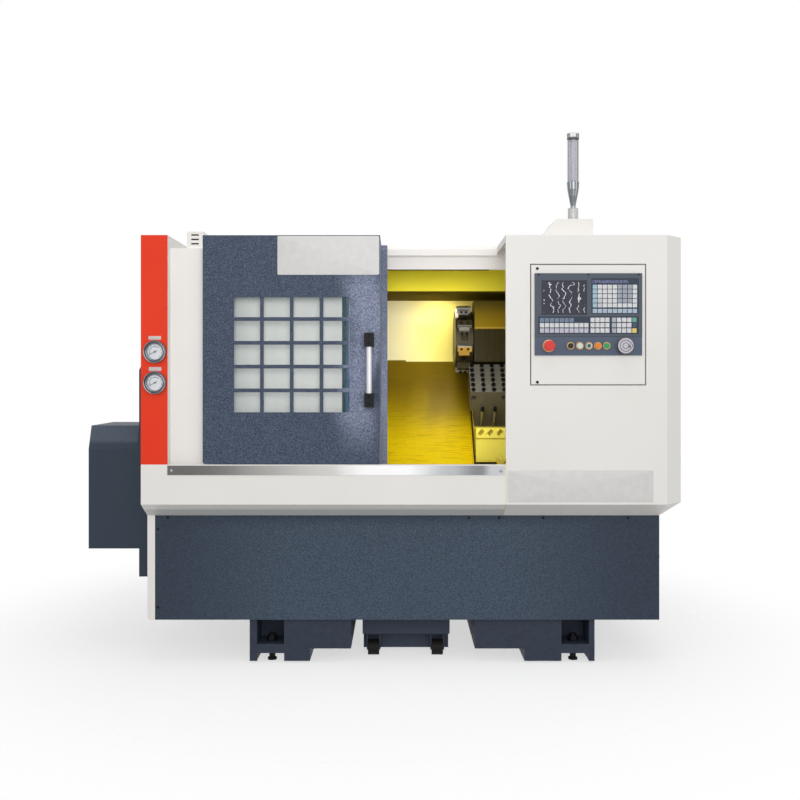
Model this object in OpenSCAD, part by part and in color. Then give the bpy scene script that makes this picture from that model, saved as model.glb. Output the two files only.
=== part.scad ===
// Slant bed lathe: sheet metal enclosure with sliding door, swing-out control panel,
// cast bed at a slant, spindle with collet chuck, two slides, turret and coolant tank.
// Millimetres. Drawn from the left wall, the front plane and the floor, then centred.

/* [Enclosure] */
// width from the left wall to the right wall
enclosure_w = 2046; // [2030:1:2080]
// depth from the front plane to the rear wall
enclosure_d = 1340; // [1330:1:1400]
// height of the roof
roof_z = 1638; // [1636:1:1660]
// width of the red column at the left
column_w = 100; // [94:1:110]
// depth of the recess above the door rail
recess_d = 330; // [328:1:336]
// depth of the fixed front panel behind the door
panel_y = 46; // [44:1:52]
// width of the control housing at the right
housing_w = 677; // [670:1:680]
// bevel at the right front corner
bevel = 72; // [60:1:80]
// thickness of the sheet panels
sheet_t = 3; // [2.5:0.5:3]
// height of the lip in front of the door
lip_z = 777; // [774:1:790]
// height of the door trough floor
trough_z = 735; // [730:1:738]
// lower edge of the upright apron
skirt_z = 627; // [620:1:632]

/* [Base] */
// height of the base panels, top
base_top_z = 573; // [566:1:576]
// height of the base panels, bottom
base_low_z = 171; // [168:1:176]
// setback of the base front
base_setback = 95; // [90:1:100]
// setback of the base right side
base_inset = 76; // [72:1:80]
// width of the pale strip left of the base panel
base_strip = 29; // [24:1:34]
// clearance below the cast legs
leg_clear = 8; // [6:1:10]

/* [Door] */
// left edge of the door in its open place
door_x = 231; // [226:1:236]
// width of the door front
door_w = 666; // [660:1:668]
// depth of the door front behind the front plane
door_y = 4; // [3:0.5:5]
// depth of the boxed right side of the door
door_d = 284; // [276:1:288]
// number of window columns
win_cols = 4; // [3:1:4]
// number of window rows
win_rows = 5; // [4:1:5]
// plain border of the door right of its windows
win_margin = 115; // [110:0.2:120]
// height of one window
win_h = 75.3; // [72:0.1:77]
// width of the bars between windows
win_bar = 14; // [12:0.5:15]

/* [Control panel] */
// height of the swing-out plate
hatch_h = 452; // [450:1:460]
// left edge of the plate from the housing side
hatch_x = 93; // [88:1:98]
// right edge of the plate from the right wall
hatch_end = 153; // [148:1:158]
// lower edge of the plate
hatch_z = 1076; // [1070:1:1084]
// border of the plate beside the control unit
unit_margin = 14.5; // [12:0.5:16]
// diameter of the push buttons
button_d = 20; // [18:0.5:21]
// diameter of the handwheel
wheel_d = 58; // [54:1:60]
// gap between moving control pieces and their seats
press_gap = 0.4; // [0.3:0.05:0.6]

/* [Bed and slides] */
// depth of the lower end of the slanted cover
slope_y = 450; // [448:1:454]
// height of the lower end of the slanted cover
slope_z = 635; // [630:1:640]
// length of the slanted cover
slope_len = 774; // [770:1:776]
// width of the linear rails
rail_w = 30; // [28:1:32]
// clearance of sliding pieces
slide_gap = 0.4; // [0.3:0.05:0.6]
// diameter of the long ball screw
z_screw_d = 32; // [28:1:32]
// diameter of the short ball screw
x_screw_d = 20; // [18:1:22]
// diameter of the turret disc
turret_d = 280; // [260:2:290]
// number of turret stations
stations = 8; // [6:1:8]

/* [Spindle] */
// depth of the spindle axis
spindle_y = 560; // [556:1:564]
// height of the spindle axis
spindle_z = 1040; // [1036:1:1044]
// diameter of the spindle
spindle_d = 100; // [94:1:104]
// diameter of the bar passage
bar_d = 42; // [36:1:46]
// diameter of the collet chuck
chuck_d = 150; // [140:2:160]
// diameter of the spindle pulley
pulley_d = 130; // [124:1:136]
// diameter of the motor pulley
motor_pulley_d = 104; // [98:1:108]
// running clearance of shafts, each side
run_gap = 0.05; // [0.03:0.01:0.08]

/* [Signal lamp and gauges] */
// height of the lamp top
lamp_top = 2057; // [2040:1:2070]
// diameter of the lamp lens
lamp_d = 48; // [44:1:52]
// diameter of the pressure gauges
gauge_d = 85; // [80:1:88]

/* [Coolant tank] */
// width of the tank
tank_w = 344; // [330:1:350]
// diameter of the caster wheels
caster_d = 60; // [56:1:62]

/* [Hidden] */
eps = 0.01;
t = sheet_t;
// left covers: guard on the wall, motor cover outside it
guard_w = 88;
motor_cover_w = 205;
// side door hinge
hinge_r = 5.5;
hinge_off = 6;
// centring
front_most = -44;
x_mid = (-guard_w - motor_cover_w + enclosure_w + hinge_off + hinge_r) / 2;
y_mid = (front_most + enclosure_d) / 2;
housing_x = enclosure_w - housing_w;
base_right = enclosure_w - base_inset;
door_edge = 24;
door_low = lip_z + 2;
door_top = roof_z;
// cabinet doors in the rear wall
rear_door_x = [150, enclosure_w - 790];
rear_door_w = 640;
door_r = 10;
// inner wall of the control housing, and the fold under its open roof edge
cabin_x = housing_x + 71;
roof_fold = 26;
fixed_w = 652;
wall_x = column_w + fixed_w;
header_z = 1545;
// top of the fixed cabinet beside the door, and of the door rail behind it
shelf_z = roof_z - 43;
rail_top = roof_z - 12;
back_y = 1000;
back_low = 1165;
ceiling_z = 1479;
slant = 45;
cs = cos(slant);
// bed plane and layers across the slant
bed_w = -140;
rail_h = 28;
// sideways share of the named width, for what stands along the bed
kx = enclosure_w / 2046;
saddle_x = 1290 * kx;
saddle_w = 370;
bed_x0 = 120;
bed_x1 = enclosure_w - 156;
bed_back = max(enclosure_d - 190, slope_y + (740 - bed_w) * cs + 20);
leg_back = enclosure_d - 160;
leg_x = [391 * kx, 1724 * kx];
pad_x = [leg_x[0] + 80.5, leg_x[1] - 74.5];
pad_y = [165, enclosure_d - 215];
// where the moving cover starts and the fixed one ends
cover_x = [saddle_x - 355 * kx, saddle_x - 290 * kx];
rail_u = [170, 610];
z_screw_u = 390;
z_screw_h = -130;
x_screw_x = saddle_x + saddle_w / 2;
x_screw_h = -42;
spindle_u = ((spindle_y - slope_y) + (spindle_z - slope_z)) * cs;
spindle_h = ((spindle_z - slope_z) - (spindle_y - slope_y)) * cs;
turret_u = 680;
turret_h = 225;
motor_y = 470;
motor_z = 650;
pulley_x0 = 20;
pulley_x1 = 76;
// window field
win_x0 = door_x + win_margin + 2.6;
win_w = (door_w - 2 * win_margin - 2.6 - (win_cols - 1) * win_bar) / win_cols;
handle_x = door_x + door_w - 40;
win_z0 = 973;
// control panel
hx = housing_x + hatch_x;
hatch_w = housing_w - hatch_x - hatch_end;
unit_w = hatch_w - 2 * unit_margin;
unit_x = hx + unit_margin;
// sideways scale of the keys and switches in the unit
ku = unit_w / 402;
unit_top = hatch_z + 418;
unit_split = hatch_z + 181;
unit_low = hatch_z + 110.5;
row_z = hatch_z + 146;
button_at = [for (v = [133.5, 167.5, 202, 235.5, 268.5]) unit_margin + v * ku];
estop_at = unit_margin + 52.5 * ku;
wheel_at = unit_margin + 336.5 * ku;
hinge_in = 8;
plate_gap = 2;
// gauges
gauge_x = column_w / 2 + 4;
gauge_z = [1200, 1084];
// tank
tank_x = 824 * kx;
tank_y = 190;
tank_l = 840;
tank_low = 19;
tank_lip = 92;
tank_top = 160;
caster_at = [43, tank_w - 48];
// lamp
lamp_x = housing_x + 279;
lamp_y = 150;
plinth_z = 1713;
// side door
side_y0 = 110;
side_y1 = 820;
side_z0 = 780;
side_z1 = 1580;
// belt run
belt_t = 6;
belt_dx = motor_y - spindle_y;
belt_dz = motor_z - spindle_z;
belt_len = sqrt(belt_dx * belt_dx + belt_dz * belt_dz);
belt_dir = atan2(belt_dz, belt_dx);
$fn = 48;

// Placing helpers
module placed() {
  translate([-x_mid, -y_mid, 0]) children();
}

module along_x(x0, x1) {
  translate([x0, 0, 0]) rotate([90, 0, 90]) linear_extrude(x1 - x0) children();
}

module along_y(y0, y1) {
  translate([0, y1, 0]) rotate([90, 0, 0]) linear_extrude(y1 - y0) children();
}

module box(x0, x1, y0, y1, z0, z1) {
  translate([x0, y0, z0]) cube([x1 - x0, y1 - y0, z1 - z0]);
}

// a round bar along each axis
module bar_x(x0, x1, y, z, d) {
  translate([x0, y, z]) rotate([0, 90, 0]) cylinder(d = d, h = x1 - x0);
}

module bar_y(x, y0, y1, z, d) {
  translate([x, y1, z]) rotate([90, 0, 0]) cylinder(d = d, h = y1 - y0);
}

// the slanted frame: second axis runs up the slant, third stands off it
module slanted() {
  translate([0, slope_y, slope_z]) rotate([slant, 0, 0]) children();
}

// a point of the slanted frame in depth and height
function sp(u, w) = [slope_y + (u - w) * cs, slope_z + (u + w) * cs];

// outline of a folded sheet that follows a line, thickness to its right
function dirv(a, b) = (b - a) / norm(b - a);
function right(d) = [d[1], -d[0]];
function miter(p, i, n) =
  i == 0 ? right(dirv(p[0], p[1])) :
  i == n - 1 ? right(dirv(p[n - 2], p[n - 1])) :
  let (a = right(dirv(p[i - 1], p[i])), b = right(dirv(p[i], p[i + 1])))
    (a + b) / (1 + a * b);
function folded(p, th) = let (n = len(p))
  concat(p, [for (i = [n - 1:-1:0]) p[i] + th * miter(p, i, n)]);

// Cast bed, legs and base
module leg_pocket(x0, x1, y0, y1) {
  box(x0, x1, y0, y1, 73, 200);
  box(x0, x1, y0, y1, -1, 38);
}

module bed_casting() {
  color([0.27, 0.31, 0.37]) difference() {
    union() {
      along_x(bed_x0, bed_x1) polygon([sp(60, bed_w), sp(740, bed_w), [bed_back, sp(740, bed_w)[1]],
        [bed_back, 186], [420, 186], [420, sp(60, bed_w)[1]]]);
      along_y(110, leg_back) translate([leg_x[0], 0]) polygon([[0, leg_clear], [233 * kx, leg_clear],
        [233 * kx, 56], [392 * kx, 56], [392 * kx, 190], [0, 190]]);
      along_y(110, leg_back) translate([leg_x[1], 0]) polygon([[0, leg_clear], [-271 * kx, leg_clear],
        [-271 * kx, 56], [-463 * kx, 56], [-463 * kx, 190], [0, 190]]);
    }
    // hollow through the bed
    along_x(bed_x0 - 1, bed_x1 + 1) polygon([[500, 260],
      [bed_back - 70, 260], [bed_back - 70, 930], [640, 490], [500, 490]]);
    // trough of the long screw, with a bearing lug left at each end
    slanted() difference() {
      box(780, bed_x1 + 1, z_screw_u - 70, z_screw_u + 70, bed_w - 60, bed_w + 1);
      box(779, 812, z_screw_u - 40, z_screw_u + 40, bed_w - 61, bed_w + 2);
      box(bed_x1 - 40, bed_x1 + 2, z_screw_u - 40, z_screw_u + 40, bed_w - 61, bed_w + 2);
    }
    slanted() bar_x(779, bed_x1 + 2, z_screw_u, z_screw_h, z_screw_d + 2 * run_gap);
    for (y = [109, leg_back - 120]) {
      leg_pocket(leg_x[0] + 28, leg_x[0] + 133, y, y + 121);
      leg_pocket(leg_x[1] - 128, leg_x[1] - 21, y, y + 121);
    }
    for (x = pad_x, y = pad_y) translate([x, y, -1]) cylinder(d = 24.5, h = 110);
  }
  color([0.27, 0.31, 0.37]) for (x = [780, bed_x1 - 40]) difference() {
    slanted() box(x, x + (x > 1000 ? 40 : 32), z_screw_u - 40, z_screw_u + 40, bed_w - 1, z_screw_h + 24);
    slanted() bar_x(x - 1, x + 42, z_screw_u, z_screw_h, z_screw_d + 2 * run_gap);
  }
}

module levelling_screws() {
  color([0.2, 0.2, 0.22]) for (x = pad_x, y = pad_y) {
    translate([x, y, 0]) cylinder(d = 36, h = leg_clear - 0.5);
    translate([x, y, 0]) cylinder(d = 24, h = 102);
    translate([x, y, 73]) cylinder(d = 40, h = 20, $fn = 6);
  }
}

module base_shroud() {
  color([0.86, 0.85, 0.83]) translate([0, 0, base_low_z]) linear_extrude(base_top_z - base_low_z)
    polygon(folded([[base_strip, base_setback], [0, base_setback], [0, enclosure_d],
      [base_right, enclosure_d], [base_right, base_setback + t]], t));
}

module base_front_panel() {
  color([0.25, 0.29, 0.36])
    box(base_strip, base_right, base_setback, base_setback + t, base_low_z, base_top_z);
}

module front_apron() {
  color([0.88, 0.87, 0.85]) along_x(t, housing_x) polygon(folded([[base_setback, base_top_z],
    [0, skirt_z], [0, lip_z], [14, lip_z], [14, trough_z], [recess_d + 15, trough_z],
    [recess_d + 15, 560]], t));
}

module apron_strip() {
  color([0.72, 0.73, 0.75]) box(column_w, housing_x - 4, -2, 0, lip_z - 39, lip_z - 4);
}

// Left column, recess, roof and rear
module red_column_panel() {
  color([0.9, 0.27, 0.14]) difference() {
    box(0, column_w, 0, t, lip_z, roof_z);
    for (z = gauge_z) bar_y(gauge_x, -1, t + 1, z, gauge_d - 12);
  }
}

module left_enclosure() {
  color([0.88, 0.87, 0.85]) difference() {
    union() {
      along_x(0, t) polygon([[base_setback, base_top_z], [0, skirt_z], [0, lip_z], [t, lip_z],
        [t, roof_z - t], [enclosure_d, roof_z - t], [enclosure_d, base_top_z]]);
      box(column_w - t, column_w, t, recess_d + t, lip_z, roof_z - t);
      box(column_w - t, column_w, 14, recess_d + t, trough_z, lip_z + eps);
      box(0, column_w, t, recess_d + t, roof_z - t, roof_z);
    }
    bar_x(-1, t + 1, spindle_y, spindle_z, 150);
    bar_x(-1, t + 1, motor_y, motor_z, 112);
  }
}

// the fixed cabinet front behind the door, the header over the opening and the door rail
module recess_panel() {
  color([0.88, 0.87, 0.85]) {
    along_x(column_w, wall_x) polygon(folded([[panel_y, trough_z], [panel_y, shelf_z],
      [recess_d, shelf_z], [recess_d, roof_z]], t));
    box(wall_x - eps, housing_x, recess_d, recess_d + t, header_z, roof_z);
    box(wall_x, cabin_x, recess_d, recess_d + 20, header_z, header_z + t);
    box(housing_x - eps, cabin_x, recess_d, recess_d + t, header_z, roof_z - t);
    box(column_w, housing_x, recess_d - 18, recess_d + eps, rail_top - 26, rail_top);
  }
}

// groove round a cabinet door in the rear wall
module seam(x0, x1, z0, z1) {
  difference() {
    box(x0, x1, enclosure_d - t / 2, enclosure_d + 1, z0, z1);
    box(x0 + 4, x1 - 4, enclosure_d - t, enclosure_d + 2, z0 + 4, z1 - 4);
  }
}

module rear_enclosure() {
  hood_x0 = column_w - 2;
  hood_x1 = hood_x0 + 68;
  color([0.88, 0.87, 0.85]) {
    box(0, enclosure_w, recess_d + t, enclosure_d, roof_z - t, roof_z);
    difference() {
      box(t, enclosure_w - t, enclosure_d - t, enclosure_d, skirt_z, roof_z - t + eps);
      for (x = rear_door_x) {
        seam(x, x + rear_door_w, 700, 1560);
        for (z = [1380:22:1490])
          box(x + 120, x + rear_door_w - 120, enclosure_d - t - 1, enclosure_d + 1, z, z + 8);
      }
    }
    box(t, base_right - t, enclosure_d - t, enclosure_d, base_top_z, skirt_z + eps);
    difference() {
      box(hood_x0, hood_x1, recess_d + 6, 640, roof_z - eps, 1701);
      box(hood_x0 + 2, hood_x1 - 2, recess_d + 8, 638, roof_z, 1699);
      for (z = [1651, 1669, 1687])
        box(hood_x0 + 18, hood_x1 - 19, recess_d + 5, recess_d + 9, z - 3, z + 3);
    }
  }
}

module splash_liner() {
  color([0.78, 0.64, 0.12]) {
    difference() {
      along_x(wall_x - t, wall_x) polygon([sp(0, 0), sp(slope_len, 0), [back_y + t, back_low],
        [back_y + t, roof_z - t], [recess_d + t, roof_z - t], [recess_d + t, shelf_z - t],
        [panel_y + t, shelf_z - t], [panel_y + t, trough_z], [recess_d + 18, trough_z],
        [recess_d + 18, 650]]);
      bar_x(wall_x - t - 1, wall_x + 1, spindle_y, spindle_z, spindle_d + 12);
    }
    box(wall_x - eps, enclosure_w - 20, back_y, back_y + t, back_low, roof_z - t);
    box(wall_x - eps, enclosure_w - 20, 590, 590 + t, ceiling_z, roof_z - t);
    // low ceiling from the front strip back to the rear panel
    along_x(wall_x - eps, enclosure_w - 20) polygon([[590, ceiling_z], [590, ceiling_z + t],
      [back_y + t, ceiling_z - 11 + t], [back_y + t, ceiling_z - 11]]);
  }
}

module way_cover_fixed() {
  color([0.78, 0.64, 0.12]) slanted() box(wall_x, cover_x[1], 0, slope_len, 0, 2);
}

// Control housing with the lamp plinth
module housing_plan(in) {
  polygon([[housing_x + in, in], [enclosure_w - bevel - in * 0.4, in],
    [enclosure_w - in, bevel + in * 0.4], [enclosure_w - in, enclosure_d],
    [enclosure_w - 80, enclosure_d], [housing_x + in, enclosure_d]]);
}

module skirt_solid(in) {
  hull() {
    translate([0, 0, skirt_z]) linear_extrude(0.1) housing_plan(in);
    translate([0, 0, base_top_z]) linear_extrude(0.1)
      polygon([[housing_x + in, base_setback + in], [base_right - in, base_setback + in],
        [base_right - in, enclosure_d], [housing_x + in, enclosure_d]]);
  }
}

module control_housing() {
  color([0.88, 0.87, 0.85]) difference() {
    union() {
      translate([0, 0, skirt_z]) linear_extrude(roof_z - t - skirt_z)
        polygon(folded([[cabin_x, recess_d + t], [cabin_x, 0], [enclosure_w - bevel, 0],
          [enclosure_w, bevel], [enclosure_w, enclosure_d]], -t));
      translate([0, 0, skirt_z]) linear_extrude(roof_z - t - skirt_z)
        polygon(folded([[housing_x, 16], [housing_x, 0], [cabin_x + t, 0]], -t));
      box(housing_x, housing_x + t, 0, recess_d, roof_z - roof_fold, roof_z - t + eps);
      box(housing_x, housing_x + t, 0, recess_d + t, skirt_z, lip_z);
      box(housing_x, cabin_x + t, 16, recess_d + t, trough_z - t, trough_z);
      translate([0, 0, roof_z - t]) linear_extrude(t)
        polygon([[housing_x, recess_d + t], [housing_x, 0], [enclosure_w - bevel, 0],
          [enclosure_w, bevel], [enclosure_w, recess_d + t]]);
      box(cabin_x + t - eps, enclosure_w - t + eps, recess_d, recess_d + t, trough_z, roof_z - t);
      difference() {
        skirt_solid(0);
        translate([0, 0, -0.2]) skirt_solid(t);
        translate([0, 0, 0.3]) skirt_solid(t);
        box(housing_x - 1, enclosure_w + 1, enclosure_d - 80, enclosure_d + 1, 500, 700);
        box(housing_x - 1, housing_x + t + 1, base_setback + t, enclosure_d, 500, 700);
      }
      // plinth under the lamp
      along_y(lamp_y - 60, lamp_y + 90) polygon([[lamp_x - 137, roof_z - t], [lamp_x - 75, plinth_z],
        [lamp_x + 67, plinth_z], [lamp_x + 67, roof_z - t]]);
    }
    box(hx - plate_gap, hx + hatch_w + plate_gap, -1, t + 1, hatch_z - plate_gap,
      hatch_z + hatch_h + plate_gap);
    box(enclosure_w - t - 1, enclosure_w + 1, side_y0 + 30, side_y1 - 30, side_z0 + 30, side_z1 - 30);
  }
  // pivot pins of the swing-out plate
  color([0.6, 0.6, 0.62]) for (z = [hatch_z - 4, hatch_z + hatch_h - 6])
    translate([hx + hatch_w - hinge_in, t / 2, z]) cylinder(d = 1.8, h = 10);
}

module tower_lamp_stem() {
  color([0.7, 0.71, 0.73]) translate([lamp_x, lamp_y, plinth_z]) rotate_extrude()
    polygon([[0, 0], [31, 0], [31, 4], [19, 4], [19, 50], [10, 52], [10, 60], [12.5, 74],
      [17, 96], [22, 124], [lamp_d / 2, 152], [0, 152]]);
}

module tower_lamp_lens() {
  color([0.8, 0.82, 0.84]) translate([lamp_x, lamp_y, plinth_z + 152])
    cylinder(d = lamp_d, h = lamp_top - plinth_z - 152);
}

// Pressure gauges on the red column
module pressure_gauges() {
  color([0.75, 0.76, 0.78]) for (z = gauge_z) translate([gauge_x, 0, z]) rotate([90, 0, 0]) difference() {
    union() {
      cylinder(d = gauge_d, h = 12);
      translate([0, 0, -46]) cylinder(d = gauge_d - 13, h = 46.5);
      translate([0, 0, -70]) cylinder(d = 14, h = 25);
    }
    translate([0, 0, 4]) cylinder(d = gauge_d - 8, h = 9);
    translate([0, 0, 1]) cylinder(d = 3 + 2 * run_gap, h = 4);
  }
}

module needle(z, a) {
  color([0.08, 0.08, 0.09]) translate([gauge_x, 0, z]) rotate([90, 0, 0]) {
    translate([0, 0, 1.5]) cylinder(d = 3, h = 5.5);
    translate([0, 0, 5.5]) cylinder(d = 8, h = 1.5);
    rotate([0, 0, a]) translate([-1, -10, 6]) cube([2, 42, 1]);
  }
}

module gauge_needle_upper() needle(gauge_z[0], 116);

module gauge_needle_lower() needle(gauge_z[1], 116);

// Covers on the left wall
module belt_guard() {
  color([0.25, 0.29, 0.36]) difference() {
    along_x(-guard_w, 0) polygon([[300, 294], [800, 294], [800, 1150], [330, 1150], [300, 1134]]);
    along_x(-guard_w + t, 1) polygon([[300 + t, 294 + t], [800 - t, 294 + t], [800 - t, 1150 - t],
      [330 + t, 1150 - t], [300 + t, 1134 - t]]);
    bar_x(-guard_w - 1, -guard_w + t + 1, motor_y, motor_z, 220);
  }
}

module motor_cover() {
  x0 = -guard_w - motor_cover_w;
  color([0.25, 0.29, 0.36]) difference() {
    along_x(x0, -guard_w) polygon([[300, 408], [640, 408], [640, 906], [337, 906], [300, 813]]);
    along_x(x0 + t, -guard_w + 1) polygon([[300 + t, 408 + t], [640 - t, 408 + t], [640 - t, 906 - t],
      [337 + t, 906 - t], [300 + t, 813]]);
    for (z = [480:24:620]) box(x0 - 1, x0 + t + 1, 380, 560, z, z + 8);
  }
}

// Headstock, spindle and drive
module headstock() {
  color([0.45, 0.48, 0.5]) difference() {
    slanted() union() {
      along_x(130, 650) polygon([[110, bed_w], [650, bed_w], [650, bed_w + 45], [540, bed_w + 70],
        [520, spindle_h + 60], [215, spindle_h + 60], [215, bed_w + 60], [110, bed_w + 45]]);
      bar_x(130, 650, spindle_u, spindle_h, 270);
    }
    bar_x(129, 651, spindle_y, spindle_z, spindle_d + 2 * run_gap);
  }
}

module spindle() {
  color([0.66, 0.67, 0.69]) difference() {
    union() {
      bar_x(pulley_x0 - 8, 760, spindle_y, spindle_z, spindle_d);
      bar_x(pulley_x0, pulley_x1, spindle_y, spindle_z, pulley_d);
    }
    bar_x(0, 761, spindle_y, spindle_z, bar_d + 8);
  }
}

module chuck_cylinder() {
  color([0.5, 0.52, 0.55]) difference() {
    union() {
      bar_x(-78, pulley_x0 - 8, spindle_y, spindle_z, 130);
      bar_x(-84, -77, spindle_y, spindle_z, 90);
    }
    bar_x(-85, pulley_x0, spindle_y, spindle_z, bar_d + 8);
  }
}

module chuck_body() {
  color([0.6, 0.61, 0.63]) difference() {
    union() {
      bar_x(760, 812, spindle_y, spindle_z, chuck_d);
      translate([812 - eps, spindle_y, spindle_z]) rotate([0, 90, 0])
        cylinder(d1 = chuck_d, d2 = bar_d + 50, h = 36);
    }
    bar_x(759, 780, spindle_y, spindle_z, bar_d + 8);
    bar_x(779, 850, spindle_y, spindle_z, bar_d + 24 + 2 * run_gap);
  }
}

module collet() {
  color([0.7, 0.7, 0.66]) difference() {
    bar_x(790, 852, spindle_y, spindle_z, bar_d + 24);
    bar_x(789, 853, spindle_y, spindle_z, bar_d);
  }
}

module spindle_motor() {
  color([0.2, 0.22, 0.25]) difference() {
    union() {
      bar_x(-270, -8, motor_y, motor_z, 190);
      box(-8, 0, motor_y - 95, motor_y + 95, motor_z - 95, motor_z + 95);
      box(-230, -110, motor_y - 45, motor_y + 45, motor_z + 60, motor_z + 130);
    }
    bar_x(-180, 1, motor_y, motor_z, 38 + 2 * run_gap);
  }
}

module motor_pulley() {
  color([0.6, 0.61, 0.63]) {
    bar_x(-170, pulley_x1 + 6, motor_y, motor_z, 38);
    bar_x(pulley_x0, pulley_x1, motor_y, motor_z, motor_pulley_d);
  }
}

// tangent outline round the two pulleys
function arc(c, r, a0, a1) = [for (i = [0:36]) let (a = a0 + (a1 - a0) * i / 36) c + r * [cos(a), sin(a)]];
function belt_line(add) = let (r1 = pulley_d / 2 + add, r2 = motor_pulley_d / 2 + add,
  a = acos((r1 - r2) / belt_len))
  concat(arc([motor_y, motor_z], r2, belt_dir - a, belt_dir + a),
    arc([spindle_y, spindle_z], r1, belt_dir + a, belt_dir + 360 - a));

module drive_belt() {
  color([0.1, 0.1, 0.11]) along_x(pulley_x0 + 6, pulley_x1 - 6) difference() {
    polygon(belt_line(0.4 + belt_t));
    polygon(belt_line(0.4));
  }
}

// Slides on the slanted bed
module z_rails() {
  color([0.62, 0.63, 0.65]) slanted() for (u = rail_u)
    box(800, bed_x1 - 50, u - rail_w / 2, u + rail_w / 2, bed_w, bed_w + rail_h);
}

module z_servo() {
  color([0.15, 0.16, 0.18]) slanted() difference() {
    box(bed_x1, bed_x1 + 115, z_screw_u - 50, z_screw_u + 50, z_screw_h - 50, z_screw_h + 50);
    bar_x(bed_x1 - 1, bed_x1 + 30, z_screw_u, z_screw_h, z_screw_d + 2 * run_gap);
  }
}

module z_ballscrew() {
  color([0.66, 0.66, 0.68]) slanted() bar_x(784, bed_x1 + 25, z_screw_u, z_screw_h, z_screw_d);
}

module z_saddle() {
  x0 = saddle_x;
  x1 = saddle_x + saddle_w;
  color([0.4, 0.42, 0.45]) slanted() difference() {
    union() {
      box(x0, x1, 100, 700, -100, -55);
      for (u = rail_u) box(x0 + 20, x1 - 20, u - 45, u + 45, bed_w + 3, -99);
      box(x0 + 110, x1 - 110, z_screw_u - 34, z_screw_u + 34, z_screw_h - 26, -99);
      for (x = [x0 + 40, x1 - 40]) box(x - 12, x + 12, 60, 738, -60, -33);
      for (u = [100, 676])
        box(x_screw_x - 30, x_screw_x + 30, u, u + 24, -60, x_screw_h + x_screw_d / 2 + 3);
      box(x_screw_x - 40, x_screw_x + 40, 700 - eps, 800, -95, -28);
    }
    for (u = rail_u) box(x0, x1, u - rail_w / 2 - slide_gap, u + rail_w / 2 + slide_gap,
      bed_w, bed_w + rail_h + slide_gap);
    bar_x(x0, x1, z_screw_u, z_screw_h, z_screw_d + 2 * slide_gap);
    bar_y(x_screw_x, 99, 780, x_screw_h, x_screw_d + 2 * run_gap);
  }
}

module way_cover_moving() {
  color([0.78, 0.64, 0.12]) slanted() {
    box(cover_x[0], saddle_x, 4, slope_len - 4, -5.5, -3.5);
    box(saddle_x - 3, saddle_x, 100, 700, -95, -3.5);
    box(saddle_x - 3, saddle_x, 4, slope_len - 4, -5.5, 16);
  }
}

module x_ballscrew() {
  color([0.66, 0.66, 0.68]) slanted() bar_y(x_screw_x, 104, 770, x_screw_h, x_screw_d);
}

module x_slide() {
  x0 = saddle_x + 10;
  x1 = saddle_x + saddle_w - 10;
  color([0.72, 0.6, 0.16]) slanted() difference() {
    union() {
      box(x0, x1, 200, 730, -25, 4);
      for (x = [saddle_x + 40, saddle_x + saddle_w - 40], u = [260, 560])
        box(x - 28, x + 28, u, u + 90, -52, -24);
      box(x_screw_x - 28, x_screw_x + 28, 400, 470, -54, -24);
    }
    for (x = [saddle_x + 40, saddle_x + saddle_w - 40])
      box(x - 12 - slide_gap, x + 12 + slide_gap, 199, 740, -60, -33 + slide_gap);
    bar_y(x_screw_x, 199, 740, x_screw_h, x_screw_d + 2 * slide_gap);
    box(x_screw_x - 34, x_screw_x + 34, 199, 399, -60, -24.9);
  }
  // front box under the tools, with a notched ledge on top
  color([0.72, 0.6, 0.16]) difference() {
    along_x(x0, x1) polygon([[540, 738], [540, 837], [528, 842], [528, 862], [545, 886], [640, 886],
      sp(318, 3), sp(142, 3)]);
    for (x = [x0 + 6:40:x1 - 20]) translate([x, 0, 862]) rotate([0, 45, 0]) box(0, 16, 520, 580, 0, 26);
    for (z = [744, 836]) box(x0 - 1, x1 + 1, 530, 544, z, z + 2.5);
  }
}

module gang_block() {
  x0 = saddle_x - 14;
  x1 = saddle_x + saddle_w - 20;
  color([0.5, 0.51, 0.5]) slanted() difference() {
    union() {
      box(x0, x1, 336, 505, 120, 237);
      box(saddle_x + 12, x1, 345, 505, 4, 121);
    }
    for (x = [x0 + 14:132:x1 - 20]) box(x - 10, x + 10, 335, 506, 190, 212);
  }
}

module coolant_pipes() {
  color([0.75, 0.76, 0.77]) slanted() for (x = [saddle_x + 42, saddle_x + 96]) {
    translate([x, 328, 4]) cylinder(d = 10, h = 96);
    translate([x, 328, 100]) cylinder(d = 14, h = 30);
  }
}

module turret_body() {
  x0 = saddle_x + 12;
  x1 = saddle_x + saddle_w - 20;
  f = sp(610, 290)[0] - 16;
  color([0.42, 0.4, 0.3]) difference() {
    union() {
      slanted() box(x0, x0 + 200, 615, 730, 4, 290);
      slanted() bar_x(x0 - 2, x0 + 202, turret_u, turret_h, 130);
      // hooded cover over the drive, with upright folds below the hood
      along_x(x0, x1) polygon([[f, 1172], [f, 1321], [f - 20, 1321], [f - 20, 1441],
        [f + 130, 1441], [f + 130, 1172]]);
      for (x = [x0 + 14:22:x1 - 14]) box(x, x + 10, f - 6, f + 1, 1172, 1321);
    }
    slanted() bar_x(x0 - 3, x0 + 108, turret_u, turret_h, 60 + 2 * run_gap);
  }
}

module turret_disc() {
  color([0.55, 0.56, 0.55]) slanted() translate([saddle_x - 71, turret_u, turret_h]) rotate([0, 90, 0]) {
    difference() {
      cylinder(d = turret_d - 28, h = 78);
      for (i = [0:stations - 1]) rotate([0, 0, i * 360 / stations])
        translate([turret_d / 2 - 48, -10, 24]) cube([40, 20, 30]);
    }
    for (i = [0:stations - 1]) rotate([0, 0, (i + 0.5) * 360 / stations])
      translate([turret_d / 2 - 34, -24, 8]) {
        cube([46, 26, 62]);
        translate([0, 30, 6]) cube([38, 16, 46]);
      }
    cylinder(d = 60, h = 180);
  }
}

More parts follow.
